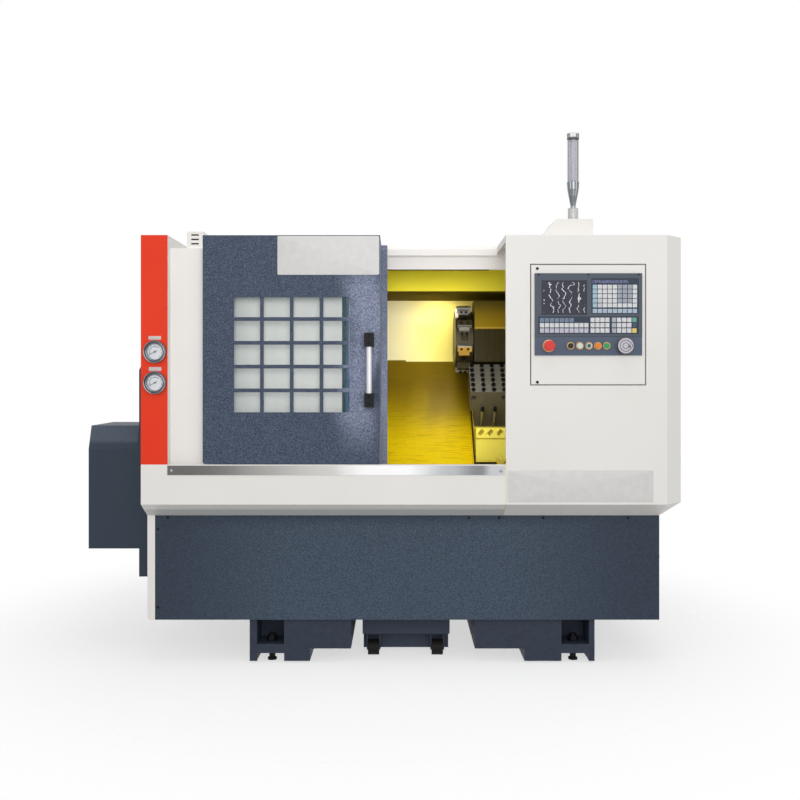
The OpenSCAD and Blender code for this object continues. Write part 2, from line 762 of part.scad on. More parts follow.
// Sliding door: a front sheet, a roof sheet back to the rail and a boxed right side
module door_panel() {
  x1 = door_x + door_w;
  y1 = door_y + t;
  y2 = door_y + door_d;
  guide_z = trough_z + 8;
  color([0.3, 0.33, 0.42]) difference() {
    union() {
      along_y(door_y, y1) polygon(concat([[door_x, door_top], [x1, door_top], [x1, door_low]],
        [for (a = [270:-15:180]) [door_x + door_r + door_r * cos(a), door_low + door_r + door_r * sin(a)]]));
      box(door_x, door_x + t, door_y, door_y + 36, door_low + door_r, door_top);
      box(door_x + door_r, x1, door_y, door_y + 36, door_low, door_low + t);
      box(door_x, x1, door_y, recess_d - 1, door_top - t, door_top);
      along_x(x1 - t, x1) polygon([[door_y, door_low], [door_y, door_top], [y2, door_top],
        [y2, guide_z], [24, guide_z], [24, door_low]]);
      // flange that meets the control housing, and the guide blade in the trough
      box(x1 - t, x1 + door_edge, y2 - t, y2, guide_z, door_top);
      box(door_x + 40, x1, 24, 24 + t, guide_z, door_low + t);
      // hanger shoes over the rail
      for (x = [door_x + 60, x1 - 120])
        box(x, x + 60, recess_d - 17, recess_d - 1, rail_top + slide_gap, door_top - t + eps);
    }
    for (i = [0:win_cols - 1], j = [0:win_rows - 1])
      translate([win_x0 + i * (win_w + win_bar), 0, win_z0 + j * (win_h + win_bar)])
        box(0, win_w, door_y - 1, y1 + 1, 0, win_h);
  }
}

module door_window() {
  color([0.75, 0.82, 0.8])
    box(win_x0 - 14, win_x0 + win_cols * (win_w + win_bar), door_y + t, door_y + t + 6,
    win_z0 - 14, win_z0 + win_rows * (win_h + win_bar));
}

module handle_bar() {
  color([0.85, 0.86, 0.87]) translate([handle_x, front_most + 16, 1045]) cylinder(d = 22, h = 173);
}

module handle_mounts() {
  color([0.07, 0.07, 0.08]) for (z = [993, 1218])
    box(handle_x - 18, handle_x + 18, front_most, door_y, z, z + 52);
}

// Swing-out control panel
module panel_plate() {
  color([0.88, 0.87, 0.85]) difference() {
    box(hx, hx + hatch_w, 0, t, hatch_z, hatch_z + hatch_h);
    box(unit_x + 12, unit_x + unit_w - 12, -1, t + 1, unit_split + 8, unit_top - 8);
    box(unit_x + 12, unit_x + unit_w - 12, -1, t + 1, unit_low + 8, unit_split - 8);
    for (z = [hatch_z - 1, hatch_z + hatch_h - 7])
      translate([hx + hatch_w - hinge_in, t / 2, z]) cylinder(d = 1.8 + 2 * run_gap, h = 8);
  }
}

module cnc_fascia() {
  color([0.22, 0.24, 0.28]) difference() {
    union() {
      box(unit_x, unit_x + unit_w, -8, 0, unit_split + 0.5, unit_top);
      box(unit_x + 14, unit_x + unit_w - 30, -eps, 84, unit_split + 10, unit_top - 10);
    }
    box(unit_x + 25 * ku, unit_x + 195 * ku, -9, -4, unit_top - 156, unit_top - 27);
    box(unit_x + 212 * ku, unit_x + unit_w - 13, -9, -6, unit_top - 152, unit_top - 19);
    box(unit_x + 13, unit_x + unit_w - 13, -9, -6, unit_split + 10, unit_split + 75);
  }
}

module display_screen() {
  color([0.1, 0.12, 0.14])
    box(unit_x + 25 * ku + 0.3, unit_x + 195 * ku - 0.3, -6.5, -4, unit_top - 155.7, unit_top - 27.3);
}

// embossed key sheets: one for data, one for the machine functions
module keypads() {
  x0 = unit_x + 212 * ku + 0.3;
  x1 = unit_x + unit_w - 13.3;
  color([0.8, 0.8, 0.79]) {
    box(x0, x1, -7.5, -6, unit_top - 151.7, unit_top - 19.3);
    for (i = [0:8], j = [0:4]) translate([x0 + (4 + i * 18.7) * ku, 0, unit_top - 128 + j * 17.4])
      box(0, 16.2 * ku, -10, -7.4, 0, 15);
    for (i = [0:8]) translate([x0 + (4 + i * 18.7) * ku, 0, unit_top - 149])
      box(0, 16.2 * ku, -10, -7.4, 0, 15.5);
    box(unit_x + 13.3, x1, -7.5, -6, unit_split + 10.3, unit_split + 74.7);
    for (i = [0:9], j = [0:1]) translate([unit_x + (19 + i * 18.4) * ku, 0, unit_split + 14 + j * 20])
      box(0, 15.6 * ku, -10, -7.4, 0, 16.5);
    for (i = [0:6]) translate([unit_x + (19 + i * 18.4) * ku, 0, unit_split + 54])
      box(0, 15.6 * ku, -10, -7.4, 0, 15);
    for (i = [0:3], j = [0:2]) translate([unit_x + (208 + i * 18.4) * ku, 0, unit_split + 14 + j * 20])
      box(0, 15.6 * ku, -10, -7.4, 0, 16.5);
    for (i = [0:4], j = [0:2]) translate([unit_x + (288 + i * 19) * ku, 0, unit_split + 14 + j * 20])
      box(0, 16 * ku, -10, -7.4, 0, 16.5);
  }
}

module switch_plate() {
  color([0.25, 0.27, 0.3]) difference() {
    box(unit_x, unit_x + unit_w, -6, 0, unit_low, unit_split);
    for (x = button_at) bar_y(hx + x, -7, 1, row_z, button_d + 2 * press_gap);
    bar_y(hx + estop_at, -7, 1, row_z, 22 + 2 * press_gap);
    bar_y(hx + wheel_at, -7, 1, row_z, 10 + 2 * run_gap);
  }
}

module switch_bezels() {
  color([0.8, 0.76, 0.55]) {
    for (x = button_at) difference() {
      bar_y(hx + x, -11, -6, row_z, button_d + 8);
      bar_y(hx + x, -12, -5, row_z, button_d + 2 * press_gap);
    }
    difference() {
      bar_y(hx + estop_at, -8, -6, row_z, 46);
      bar_y(hx + estop_at, -9, -5, row_z, 22 + 2 * press_gap);
    }
    difference() {
      bar_y(hx + wheel_at, -9, -6, row_z, wheel_d + 12);
      bar_y(hx + wheel_at, -10, -5, row_z, 10 + 2 * run_gap);
    }
  }
}

module estop_button() {
  color([0.85, 0.1, 0.08]) {
    bar_y(hx + estop_at, -22, -3, row_z, 22);
    bar_y(hx + estop_at, -33, -21, row_z, 40);
    bar_y(hx + estop_at, -35, -32, row_z, 32);
  }
}

module button(i, c, h) {
  color(c) bar_y(hx + button_at[i], -h, -2, row_z, button_d);
}

module black_button() button(0, [0.07, 0.07, 0.08], 18);

module white_button() button(1, [0.92, 0.92, 0.9], 17);

module lamp_button() button(2, [0.1, 0.35, 0.22], 15);

module orange_button() button(3, [0.9, 0.45, 0.1], 17);

module green_button() button(4, [0.1, 0.6, 0.3], 17);

module handwheel() {
  color([0.72, 0.73, 0.74]) {
    bar_y(hx + wheel_at, -26, -9.4, row_z, wheel_d);
    bar_y(hx + wheel_at, -10, -2, row_z, 10);
    bar_y(hx + wheel_at + 18, front_most, -25, row_z, 11);
  }
}

// Right side door with two locks
module side_door() {
  x = enclosure_w;
  color([0.88, 0.87, 0.85]) {
    difference() {
      box(x + 0.3, x + 0.3 + t, side_y0, side_y1, side_z0, side_z1);
      for (z = [1400:22:1510]) box(x, x + 2 * t, side_y0 + 240, side_y1 - 160, z, z + 8);
    }
    for (z = [side_z0 + 90, side_z1 - 150]) {
      translate([x + hinge_off, side_y1 + 5, z]) cylinder(r = hinge_r, h = 60);
      box(x + 0.3, x + hinge_off, side_y1 - 10, side_y1 + 4, z + 5, z + 55);
    }
    for (z = [866, 1446]) bar_x(x + 3, x + 9, side_y0 + 30, z, 22);
  }
}

// Coolant tank on casters
module coolant_tank() {
  x0 = tank_x;
  x1 = tank_x + tank_w;
  y1 = tank_y + tank_l;
  color([0.3, 0.33, 0.38]) {
    difference() {
      union() {
        box(x0, x1, tank_y, y1, tank_lip, tank_top);
        box(x0 + 2, x1 - 2, tank_y + 70, y1 - 40, tank_low, tank_lip + eps);
      }
      box(x0 + t, x1 - t, tank_y + t, y1 - t, tank_lip + t, tank_top + 1);
      box(x0 + 2 + t, x1 - 2 - t, tank_y + 70 + t, y1 - 40 - t, tank_low + t, tank_top);
    }
    // caster forks in front, runners behind
    for (x = caster_at) {
      box(x0 + x - 27, x0 + x + 27, tank_y + 12, tank_y + 62, tank_lip - 6, tank_lip + eps);
      difference() {
        union() {
          box(x0 + x - 27, x0 + x - 23, tank_y + 22, tank_y + 52, caster_d / 2 - 8, tank_lip - 5);
          box(x0 + x + 23, x0 + x + 27, tank_y + 22, tank_y + 52, caster_d / 2 - 8, tank_lip - 5);
        }
        bar_x(x0 + x - 30, x0 + x + 30, tank_y + 37, caster_d / 2, 8 + 2 * run_gap);
      }
    }
    for (x = [x0 + 10, x1 - 40]) box(x, x + 30, y1 - 120, y1 - 60, 0, tank_low + eps);
  }
}

module caster(x) {
  color([0.06, 0.06, 0.07]) {
    bar_x(tank_x + x - 22, tank_x + x + 22, tank_y + 37, caster_d / 2, caster_d);
    bar_x(tank_x + x - 28, tank_x + x + 28, tank_y + 37, caster_d / 2, 8);
  }
}

module caster_left() caster(caster_at[0]);

module caster_right() caster(caster_at[1]);

// Assembly
placed() bed_casting();
placed() levelling_screws();
placed() base_shroud();
placed() base_front_panel();
placed() front_apron();
placed() apron_strip();
placed() red_column_panel();
placed() left_enclosure();
placed() recess_panel();
placed() rear_enclosure();
placed() splash_liner();
placed() way_cover_fixed();
placed() control_housing();
placed() tower_lamp_stem();
placed() tower_lamp_lens();
placed() pressure_gauges();
placed() gauge_needle_upper();
placed() gauge_needle_lower();
placed() belt_guard();
placed() motor_cover();
placed() headstock();
placed() spindle();
placed() chuck_cylinder();
placed() chuck_body();
placed() collet();
placed() spindle_motor();
placed() motor_pulley();
placed() drive_belt();
placed() z_rails();
placed() z_servo();
placed() z_ballscrew();
placed() z_saddle();
placed() way_cover_moving();
placed() x_ballscrew();
placed() x_slide();
placed() gang_block();
placed() coolant_pipes();
placed() turret_body();
placed() turret_disc();
placed() door_panel();
placed() door_window();
placed() handle_bar();
placed() handle_mounts();
placed() panel_plate();
placed() cnc_fascia();
placed() display_screen();
placed() keypads();
placed() switch_plate();
placed() switch_bezels();
placed() estop_button();
placed() black_button();
placed() white_button();
placed() lamp_button();
placed() orange_button();
placed() green_button();
placed() handwheel();
placed() side_door();
placed() coolant_tank();
placed() caster_left();
placed() caster_right();
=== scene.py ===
import math
import bmesh
import bpy
import numpy as np
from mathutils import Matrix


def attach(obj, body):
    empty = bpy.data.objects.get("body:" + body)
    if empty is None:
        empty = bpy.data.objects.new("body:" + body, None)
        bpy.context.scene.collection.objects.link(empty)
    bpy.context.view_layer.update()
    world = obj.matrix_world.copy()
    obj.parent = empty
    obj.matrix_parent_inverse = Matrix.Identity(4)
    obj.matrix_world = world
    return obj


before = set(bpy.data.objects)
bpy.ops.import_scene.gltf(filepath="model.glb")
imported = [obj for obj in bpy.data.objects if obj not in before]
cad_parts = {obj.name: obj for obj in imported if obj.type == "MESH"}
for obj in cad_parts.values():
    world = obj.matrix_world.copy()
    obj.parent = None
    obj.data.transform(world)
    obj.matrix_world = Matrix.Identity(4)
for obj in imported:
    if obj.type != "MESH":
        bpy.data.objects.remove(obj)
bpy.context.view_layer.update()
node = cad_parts


# Bed casting: one grey iron casting with two legs, sand-cast, filled and
# brushed with dark blue-grey machine enamel. Everything else is bolted to it.
class Value:
    """A shader socket that takes part in Python sums; each sum adds a Math node."""

    def __init__(self, finish, socket):
        self.finish = finish
        self.socket = socket

    def sum(self, operation, *terms):
        """One Math node; the terms are numbers or values."""
        return self.finish.add("ShaderNodeMath", {"operation": operation}, dict(enumerate(terms)))

    def __add__(self, other): return self.sum("ADD", self, other)
    def __radd__(self, other): return self.sum("ADD", other, self)
    def __sub__(self, other): return self.sum("SUBTRACT", self, other)
    def __rsub__(self, other): return self.sum("SUBTRACT", other, self)
    def __mul__(self, other): return self.sum("MULTIPLY", self, other)
    def __rmul__(self, other): return self.sum("MULTIPLY", other, self)
    def __truediv__(self, other): return self.sum("DIVIDE", self, other)
    def __gt__(self, other): return self.sum("GREATER_THAN", self, other)
    def __lt__(self, other): return self.sum("LESS_THAN", self, other)
    def __mod__(self, other): return self.sum("FLOORED_MODULO", self, other)
    def __abs__(self): return self.sum("ABSOLUTE", self)


class Finish:
    """One material: a Principled shader and the nodes that feed it."""

    def __init__(self, name, **sockets):
        self.material = bpy.data.materials.new(name)
        self.material.use_nodes = True
        self.tree = self.material.node_tree
        self.shader = self.tree.nodes["Principled BSDF"]
        self.place = self.add("ShaderNodeTexCoord", {}, {}, "Object")
        self.set(**sockets)

    def feed(self, socket, value):
        """Links a value to a socket, or sets a constant on it."""
        if isinstance(value, Value):
            self.tree.links.new(value.socket, socket)
        else:
            socket.default_value = value

    def add(self, kind, settings, sockets, out=0):
        """A node of any kind: its settings first, then the values or links of its sockets."""
        made = self.tree.nodes.new(kind)
        for key, value in settings.items():
            setattr(made, key, value)
        for key, value in sockets.items():
            self.feed(made.inputs[key], value)
        return Value(self, made.outputs[out])

    def set(self, **sockets):
        """Feeds sockets of the shader; an underscore in a name stands for a space."""
        for key, value in sockets.items():
            self.feed(self.shader.inputs[key.replace("_", " ")], value)
        return self

    def axes(self):
        """The object's own x, y and z as three values."""
        return [self.add("ShaderNodeSeparateXYZ", {}, {0: self.place}, axis) for axis in "XYZ"]

    def noise(self, scale, detail=2.0, stretch=(1, 1, 1)):
        """Cloudy noise from 0 to 1; stretch draws it out along an axis, as brushing does."""
        spot = self.place
        if stretch != (1, 1, 1):
            spot = self.add("ShaderNodeMapping", {}, {"Vector": self.place, "Scale": stretch})
        return self.add("ShaderNodeTexNoise", {}, {"Vector": spot, "Scale": scale, "Detail": detail})

    def mix(self, share, first, second):
        """Colour that goes from first to second as share goes from 0 to 1."""
        return self.add("ShaderNodeMix", {"data_type": "RGBA"}, {0: share, 6: first, 7: second}, 2)

    def bump(self, height, depth, strength=0.3):
        """Tilts the normal by the slope of height, which is depth metres from 0 to 1."""
        sockets = {"Height": height, "Distance": depth, "Strength": strength}
        return self.set(Normal=self.add("ShaderNodeBump", {}, sockets))

    def on(self, *names):
        """Gives the finish to CAD nodes or to new pieces."""
        for name in names:
            target = node[name] if isinstance(name, str) else name
            target.data.materials.clear()
            target.data.materials.append(self.material)
        return self


def shade(red, green, blue):
    """A paint-card colour of 0 to 255 as the light it reflects."""
    tone = np.array([red, green, blue]) / 255.0
    return (*np.where(tone > 0.04045, ((tone + 0.055) / 1.055) ** 2.4, tone / 12.92).tolist(), 1.0)


cast = Finish("cast_enamel", Specular_IOR_Level=0.2)
lumps = cast.noise(55, 3)
cast.set(Base_Color=cast.mix(lumps, shade(38, 45, 58), shade(54, 62, 77)), Roughness=0.42 + 0.2 * lumps)
cast.bump(cast.noise(120, 3), 0.0012).on("bed_casting")


# Levelling screws: four turned steel pads under the legs, black oxide finish,
# each with a jam nut that is run down on the leg's shelf.
def plain(name, tone, rough, metal=0.0, grain=300.0, lift=0.0, gloss=0.5):
    """A finish with a light cloud of tone and gloss, so that no face is quite even."""
    made = Finish(name, Metallic=metal, Specular_IOR_Level=gloss)
    cloud = made.noise(grain, 3)
    low = tuple(c * 0.82 for c in tone[:3]) + (1.0,)
    made.set(Base_Color=made.mix(cloud, low, tone), Roughness=rough - 0.06 + 0.12 * cloud)
    if lift:
        made.bump(cloud, lift)
    return made


black_oxide = plain("black_oxide", shade(24, 25, 28), 0.42, 0.2, gloss=0.15).on("levelling_screws")


# Base: white folded shroud round the bed with a dark speckled front panel,
# powder-coated sheet, held by small pan-head screws along its top and left edges.
left_wall, front_face = 882.25, 648.0


def at(x, y, z):
    """Millimetres from the left wall, the front face and the floor, as metres in the model's frame."""
    x, y, z = np.broadcast_arrays(*(np.asarray(value, float) for value in (x, y, z)))
    return np.stack([x - left_wall, y - front_face, z], -1) / 1000.0


def piece(name, points, quads, body, finish, crease=35):
    """A mesh from whole arrays: doubles merged, normals turned out, smooth up to the crease angle."""
    mesh = bpy.data.meshes.new(name)
    mesh.from_pydata(points.reshape(-1, 3).tolist(), [], quads.reshape(-1, quads.shape[-1]).tolist())
    work = bmesh.new()
    work.from_mesh(mesh)
    bmesh.ops.remove_doubles(work, verts=work.verts, dist=1e-7)
    bmesh.ops.dissolve_degenerate(work, edges=work.edges, dist=1e-7)
    bmesh.ops.recalc_face_normals(work, faces=work.faces)
    work.to_mesh(mesh)
    work.free()
    mesh.shade_smooth()
    mesh.set_sharp_from_angle(angle=math.radians(crease))
    made = bpy.data.objects.new(name, mesh)
    bpy.context.collection.objects.link(made)
    finish.on(made)
    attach(made, body)
    return made


def grid_quads(copies, rows, columns, wrap=True):
    """Corner numbers of the quads of copies grids of rows by columns, the columns closed into a ring."""
    start = np.arange(copies)[:, None, None] * rows * columns
    row = np.arange(rows - 1)[None, :, None] * columns
    column = np.arange(columns if wrap else columns - 1)[None, None, :]
    here, there = start + row + column, start + row + (column + 1) % columns
    return np.stack([here, there, there + columns, here + columns], -1).reshape(-1, 4)


def turned(name, profile, seats, axis, body, finish, sides=20):
    """Profile (radius, height) in mm turned about an axis: seat + height * axis + radius * ring.

    ring is cos t * a + sin t * b, with a and b square to the axis. axis is one direction for
    all the seats, or one for each."""
    axis = np.atleast_2d(np.asarray(axis, float))
    axis = axis / np.linalg.norm(axis, axis=-1, keepdims=True)
    across = np.cross(axis, np.where(np.abs(axis[:, 2:]) < 0.9, (0.0, 0.0, 1.0), (1.0, 0.0, 0.0)))
    across /= np.linalg.norm(across, axis=-1, keepdims=True)
    other = np.cross(axis, across)
    profile = np.asarray(profile, float) / 1000.0
    turn = np.arange(sides) * 2 * np.pi / sides
    ring = np.cos(turn)[:, None] * across[:, None] + np.sin(turn)[:, None] * other[:, None]
    form = profile[:, 1, None, None] * axis[:, None, None] + profile[:, 0, None, None] * ring[:, None]
    seats = np.atleast_2d(seats)
    quads = grid_quads(len(seats), len(profile), sides)
    return piece(name, seats[:, None, None] + form, quads, body, finish)


def pads(name, frames, front, back, corner, edge, body, finish):
    """Round-cornered upright plates: each ring is a rectangle with circular corners, drawn in at the front.

    frames holds (left, right, low, high) in mm, front and back how far each face stands before the
    front plane; each plate is closed by drawing its end rings in to the middle."""
    frames = np.atleast_2d(np.asarray(frames, float))
    sides = 32
    turn = (np.arange(sides) + 0.5) * 2 * np.pi / sides
    bend = np.linspace(0, np.pi / 2, 5)
    height = np.concatenate([[back, back], front - edge + edge * np.sin(bend), [front]])
    inset = np.concatenate([[0, 0], edge * (1 - np.cos(bend)), [edge]])
    full = np.concatenate([[0], np.ones(len(inset) - 2), [0]])
    half = (frames[:, 1::2] - frames[:, 0::2]) / 2
    mid = (frames[:, 1::2] + frames[:, 0::2]) / 2
    way = np.stack([np.cos(turn), np.sin(turn)], -1)
    round_off = np.clip(corner - inset, 0.05, None)
    flat = np.sign(way) * (half[:, None, None, :] - inset[:, None, None] - round_off[:, None, None])
    ring = mid[:, None, None, :] + full[:, None, None] * (flat + round_off[:, None, None] * way)
    points = at(ring[..., 0], -height[:, None], ring[..., 1])
    return piece(name, points, grid_quads(len(frames), len(inset), sides), body, finish)


def white_sheet(name, low=shade(221, 218, 213), high=shade(230, 228, 224)):
    """White powder coat: a broad drift of tone, and fine orange peel in the gloss and the height."""
    made = Finish(name)
    peel = made.noise(420, 2)
    made.tone = made.mix(made.noise(2.2, 2), low, high)
    made.set(Base_Color=made.tone, Roughness=0.36 + 0.12 * peel)
    return made.bump(peel, 0.0004, 0.2)


white_coat = white_sheet("white_powder_coat").on("base_shroud")


def speckled(name):
    """Textured powder coat: fine flecks in the gloss, raised a little; the two tones are set by its user."""
    made = Finish(name, Specular_IOR_Level=0.2)
    made.fleck = made.noise(480, 4)
    made.set(Roughness=0.42 + 0.16 * made.fleck)
    return made.bump(made.fleck, 0.0006, 0.35)


def ramp(finish, value, start, stop):
    """0 up to start, 1 from stop on, with a soft S between."""
    settings = {"interpolation_type": "SMOOTHSTEP"}
    return finish.add("ShaderNodeMapRange", settings, {0: value, 1: start, 2: stop})


slate_coat = speckled("slate_speckle").on("base_front_panel")
x, _, z = slate_coat.axes()
# Painted shade: the front panel is darker towards its sides and along its top, under the apron.
painted_shade_falloff = ramp(slate_coat, abs(x - 0.08), 0.95, 0.35) * ramp(slate_coat, z, 0.58, 0.52)
fleck = ramp(slate_coat, slate_coat.noise(330, 3), 0.4, 0.64)
ground = slate_coat.mix(painted_shade_falloff, shade(41, 51, 64), shade(52, 63, 78))
light = slate_coat.mix(painted_shade_falloff, shade(54, 65, 79), shade(74, 87, 103))
slate_coat.set(Base_Color=slate_coat.mix(fleck, ground, light))
bright_screw = plain("zinc_screw", shade(150, 152, 155), 0.34, 0.9)
pan_head = [(0, -1.5), (5, -1.5), (5, 0.6), (4.4, 2.0), (3.2, 2.7), (2.0, 2.9), (1.8, 1.6), (0, 1.5)]
forward, rightward = (0, -1, 0), (1, 0, 0)
base_face, base_right = 95, 1970
turned("base_screws_top", pan_head, at([78, 1238, 1354, 1523, 1850], base_face, 563),
       forward, "machine", black_oxide)
turned("base_screws_left", pan_head, at(40, base_face, [520, 219]), forward, "machine", black_oxide)
turned("base_side_stop", [(0, -2), (9, -2), (9, 5), (6, 14), (0, 16)], at(base_right, 150, [405]),
       rightward, "machine", black_oxide)


# Apron: white front tray folded round the bed front; a brushed stainless rub strip
# is riveted under its lip and a bare pale plate is stuck on at the right.
def brushed(name, tone, rough, along, metal=1.0):
    """Brushed metal: noise drawn out along the brushing shades its gloss, and its tone where one is given."""
    made = Finish(name, Metallic=metal)
    made.lines = made.noise(900, 2, along)
    if tone:
        low = tuple(c * 0.75 for c in tone[:3]) + (1.0,)
        made.set(Base_Color=made.mix(made.lines * 0.6 + made.noise(3.0, 2) * 0.4, low, tone))
    made.set(Roughness=rough - 0.05 + 0.14 * made.lines)
    return made.bump(made.lines, 0.0002, 0.12)


apron_coat = white_sheet("apron_powder_coat").on("front_apron")
_, _, z = apron_coat.axes()
# Painted shade: the slanted underside of the lip is darker.
underside_shade = ramp(apron_coat, z, 0.61, 0.598)
apron_coat.set(Base_Color=apron_coat.mix(underside_shade, apron_coat.tone, shade(192, 192, 191)))
steel_strip = brushed("stainless_strip", None, 0.34, (0.02, 1, 1), 0.4).on("apron_strip")
x, _, _ = steel_strip.axes()
place = x + (steel_strip.noise(6, 2) - 0.5) * 0.1
# Painted reflections: bands along the polished strip, dark grey at the left, near white in the middle, then
# grey, stand for what it mirrors.
painted_reflections = shade(92, 90, 87)
for start, stop, tone in [(-0.74, -0.1, shade(206, 204, 201)), (-0.16, -0.05, shade(246, 246, 246)),
                          (0.13, 0.27, shade(178, 180, 184)), (0.27, 0.36, shade(122, 123, 126)),
                          (0.38, 0.43, shade(190, 191, 194))]:
    painted_reflections = steel_strip.mix(ramp(steel_strip, place, start, stop), painted_reflections, tone)
steel_strip.set(Base_Color=steel_strip.mix(steel_strip.lines * 0.35, painted_reflections, shade(120, 120, 120)))
turned("strip_rivets", [(0, -1), (6, -1), (6, 0.5), (4.6, 2.2), (2, 3), (0, 3.1)],
       at([115, 1350], -2, 754), forward, "machine", bright_screw)
bare_card = plain("bare_plate", shade(214, 213, 211), 0.35, 0.0, 40)
pads("lower_right_plate", (1376, 1922, 636, 756), 1.4, 0, 6, 0.8, "machine", bare_card)


# Left column, recess, roof and rear wall: folded white sheet with a signal-red front
# panel on the column, powder-coated, joined by hidden screws inside the folds.
red_coat = Finish("signal_red_coat", Specular_IOR_Level=0.25)
peel = red_coat.noise(420, 2)
red_coat.set(Base_Color=red_coat.mix(red_coat.noise(3, 2), shade(222, 48, 16), shade(232, 60, 24)),
             Roughness=0.34 + 0.14 * peel)
red_coat.bump(peel, 0.0004, 0.2).on("red_column_panel")
white_coat.on("left_enclosure", "rear_enclosure")
leftward, upward = (-1, 0, 0), (0, 0, 1)
right_wall, roof_z, rear_row, top_row = 2046, 1638, 1316, 1614
edge_z = np.linspace(620, 1600, 7)
left_seats = np.concatenate([at(0, rear_row, edge_z), at(0, [420, 720, 1020], top_row)])
right_seats = np.concatenate([at(right_wall, rear_row, edge_z), at(right_wall, [900, 1110], top_row)])
turned("left_wall_screws", pan_head, left_seats, leftward, "machine", bright_screw)
turned("right_wall_screws", pan_head, right_seats, rightward, "machine", bright_screw)
plug_x, plug_y = np.meshgrid([260, 1786], [520, 1230])
turned("roof_plugs", [(0, -1), (26, -1), (26, 2), (24, 4.4), (16, 5.6), (0, 6)],
       at(plug_x.ravel(), plug_y.ravel(), roof_z), upward, "machine",
       plain("plug_plastic", shade(150, 151, 152), 0.5, 0.0, 200, 0.0003), 28)
# Painted light: the recess panel gets a lighter copy of the white coat, to make up for the shade of the
# column and the door.
white_sheet("brightened_inner_coat", shade(240, 236, 231), shade(246, 243, 239)).on("recess_panel")
black_rubber = plain("black_rubber", shade(26, 25, 22), 0.6, 0.0, 300, 0.0003, 0.15)
pads("header_seal", (760, 1336, 1541, 1550.8), -330.5, -333.5, 1.5, 0.6, "machine", black_rubber)


# Pressure gauges: wide chromed bezels through the red panel, white enamelled dials with
# printed strokes and a green working arc, a glass over each and a small bare tag above.
chrome = plain("chrome", shade(118, 120, 126), 0.18, 1.0, 25).on("pressure_gauges")
plain("needle_black", shade(22, 22, 24), 0.4).on("gauge_needle_upper", "gauge_needle_lower")
dial_glass = Finish("dial_glass", Base_Color=shade(250, 252, 252), Roughness=0.03, Alpha=0.1)
tag_film = plain("tag_film", shade(212, 200, 196), 0.4, 0.0, 60)
face_steps = [(0, 4.0), (30.4, 4.0), (30.4, 4.25), (1.9, 4.25), (1.9, 4.0)]
glass_steps = [(0, 9.4), (30.1, 9.4), (30.1, 10.0), (22, 10.4), (0, 10.6)]
rim_steps = [(30.2, 4.3), (30.2, 9.0), (31.4, 10.8), (33.2, 11.2), (34.2, 8.0), (36.4, 7.6), (37.2, 10.5),
             (38.6, 13.0), (40.6, 13.6), (42.0, 12.8), (42.5, 11.0), (42.5, 2.0), (42.4, 2.0)]
gauge_x = 54


def dial(height):
    """White dial whose strokes follow angle and radius about its middle: fine, main, a coloured arc, and a
    darker ring of painted shade at its edge.
    """
    made = Finish("dial_%d" % height, Roughness=0.4)
    x, _, z = made.axes()
    x, z = x - (gauge_x - left_wall) / 1000, z - height / 1000
    radius = made.add("ShaderNodeMath", {"operation": "SQRT"}, {0: x * x + z * z})
    angle = made.add("ShaderNodeMath", {"operation": "ARCTAN2"}, {0: x, 1: z})
    angle = angle / math.radians(270) + 0.5
    inside = (angle > -0.004) * (angle < 1.004)
    fine = (abs((angle * 40 + 0.5) % 1 - 0.5) < 0.13) * (radius > 0.0255) * (radius < 0.0285)
    main = (abs((angle * 8 + 0.5) % 1 - 0.5) < 0.045) * (radius > 0.0225) * (radius < 0.0285)
    arc = (radius > 0.0185) * (radius < 0.0215) * (angle > 0.04) * (angle < 0.66)
    ink = made.mix((fine + main) * inside, shade(222, 224, 230), shade(60, 66, 74))
    # Painted shade: a darker ring at the dial's edge, under the bezel.
    ink = made.mix(radius > 0.0287, ink, shade(96, 100, 106))
    made.set(Base_Color=made.mix(arc, ink, shade(70, 142, 132)), Roughness=0.38 + 0.05 * made.noise(300))
    return made


for height, which in ((1200, "upper"), (1084, "lower")):
    seat = at(gauge_x, 0, [height])
    turned("dial_" + which, face_steps, seat, forward, "machine", dial(height), 64)
    turned("dial_glass_" + which, glass_steps, seat, forward, "machine", dial_glass, 64)
    turned("gauge_rim_" + which, rim_steps, seat, forward, "machine", chrome, 64)
pads("gauge_tags", [(29, 76, 1245, 1259), (30, 77, 1128, 1143)], 0.8, 0, 3, 0.4, "machine", tag_film)


# Covers on the left wall: welded boxes of dark speckled sheet over the belt and the
# motor, with a sloping top on the outer one and pan-head screws at the guard's corners.
cover_coat = speckled("cover_speckle").on("belt_guard", "motor_cover")
x, _, z = cover_coat.axes()
# Painted light: the sloping top of the outer cover is lighter than its sides.
lit_slope = ramp(cover_coat, z, 0.83, 0.85) * (x < -0.98)
ground = cover_coat.mix(lit_slope, shade(42, 52, 64), shade(66, 75, 88))
light = cover_coat.mix(lit_slope, shade(58, 69, 82), shade(86, 95, 108))
cover_coat.set(Base_Color=cover_coat.mix(ramp(cover_coat, cover_coat.fleck, 0.42, 0.62), ground, light))
guard_face = -88
turned("guard_screws", pan_head, at(guard_face, [322, 778, 778, 778, 322], [316, 316, 720, 1126, 1118]),
       leftward, "machine", black_oxide)


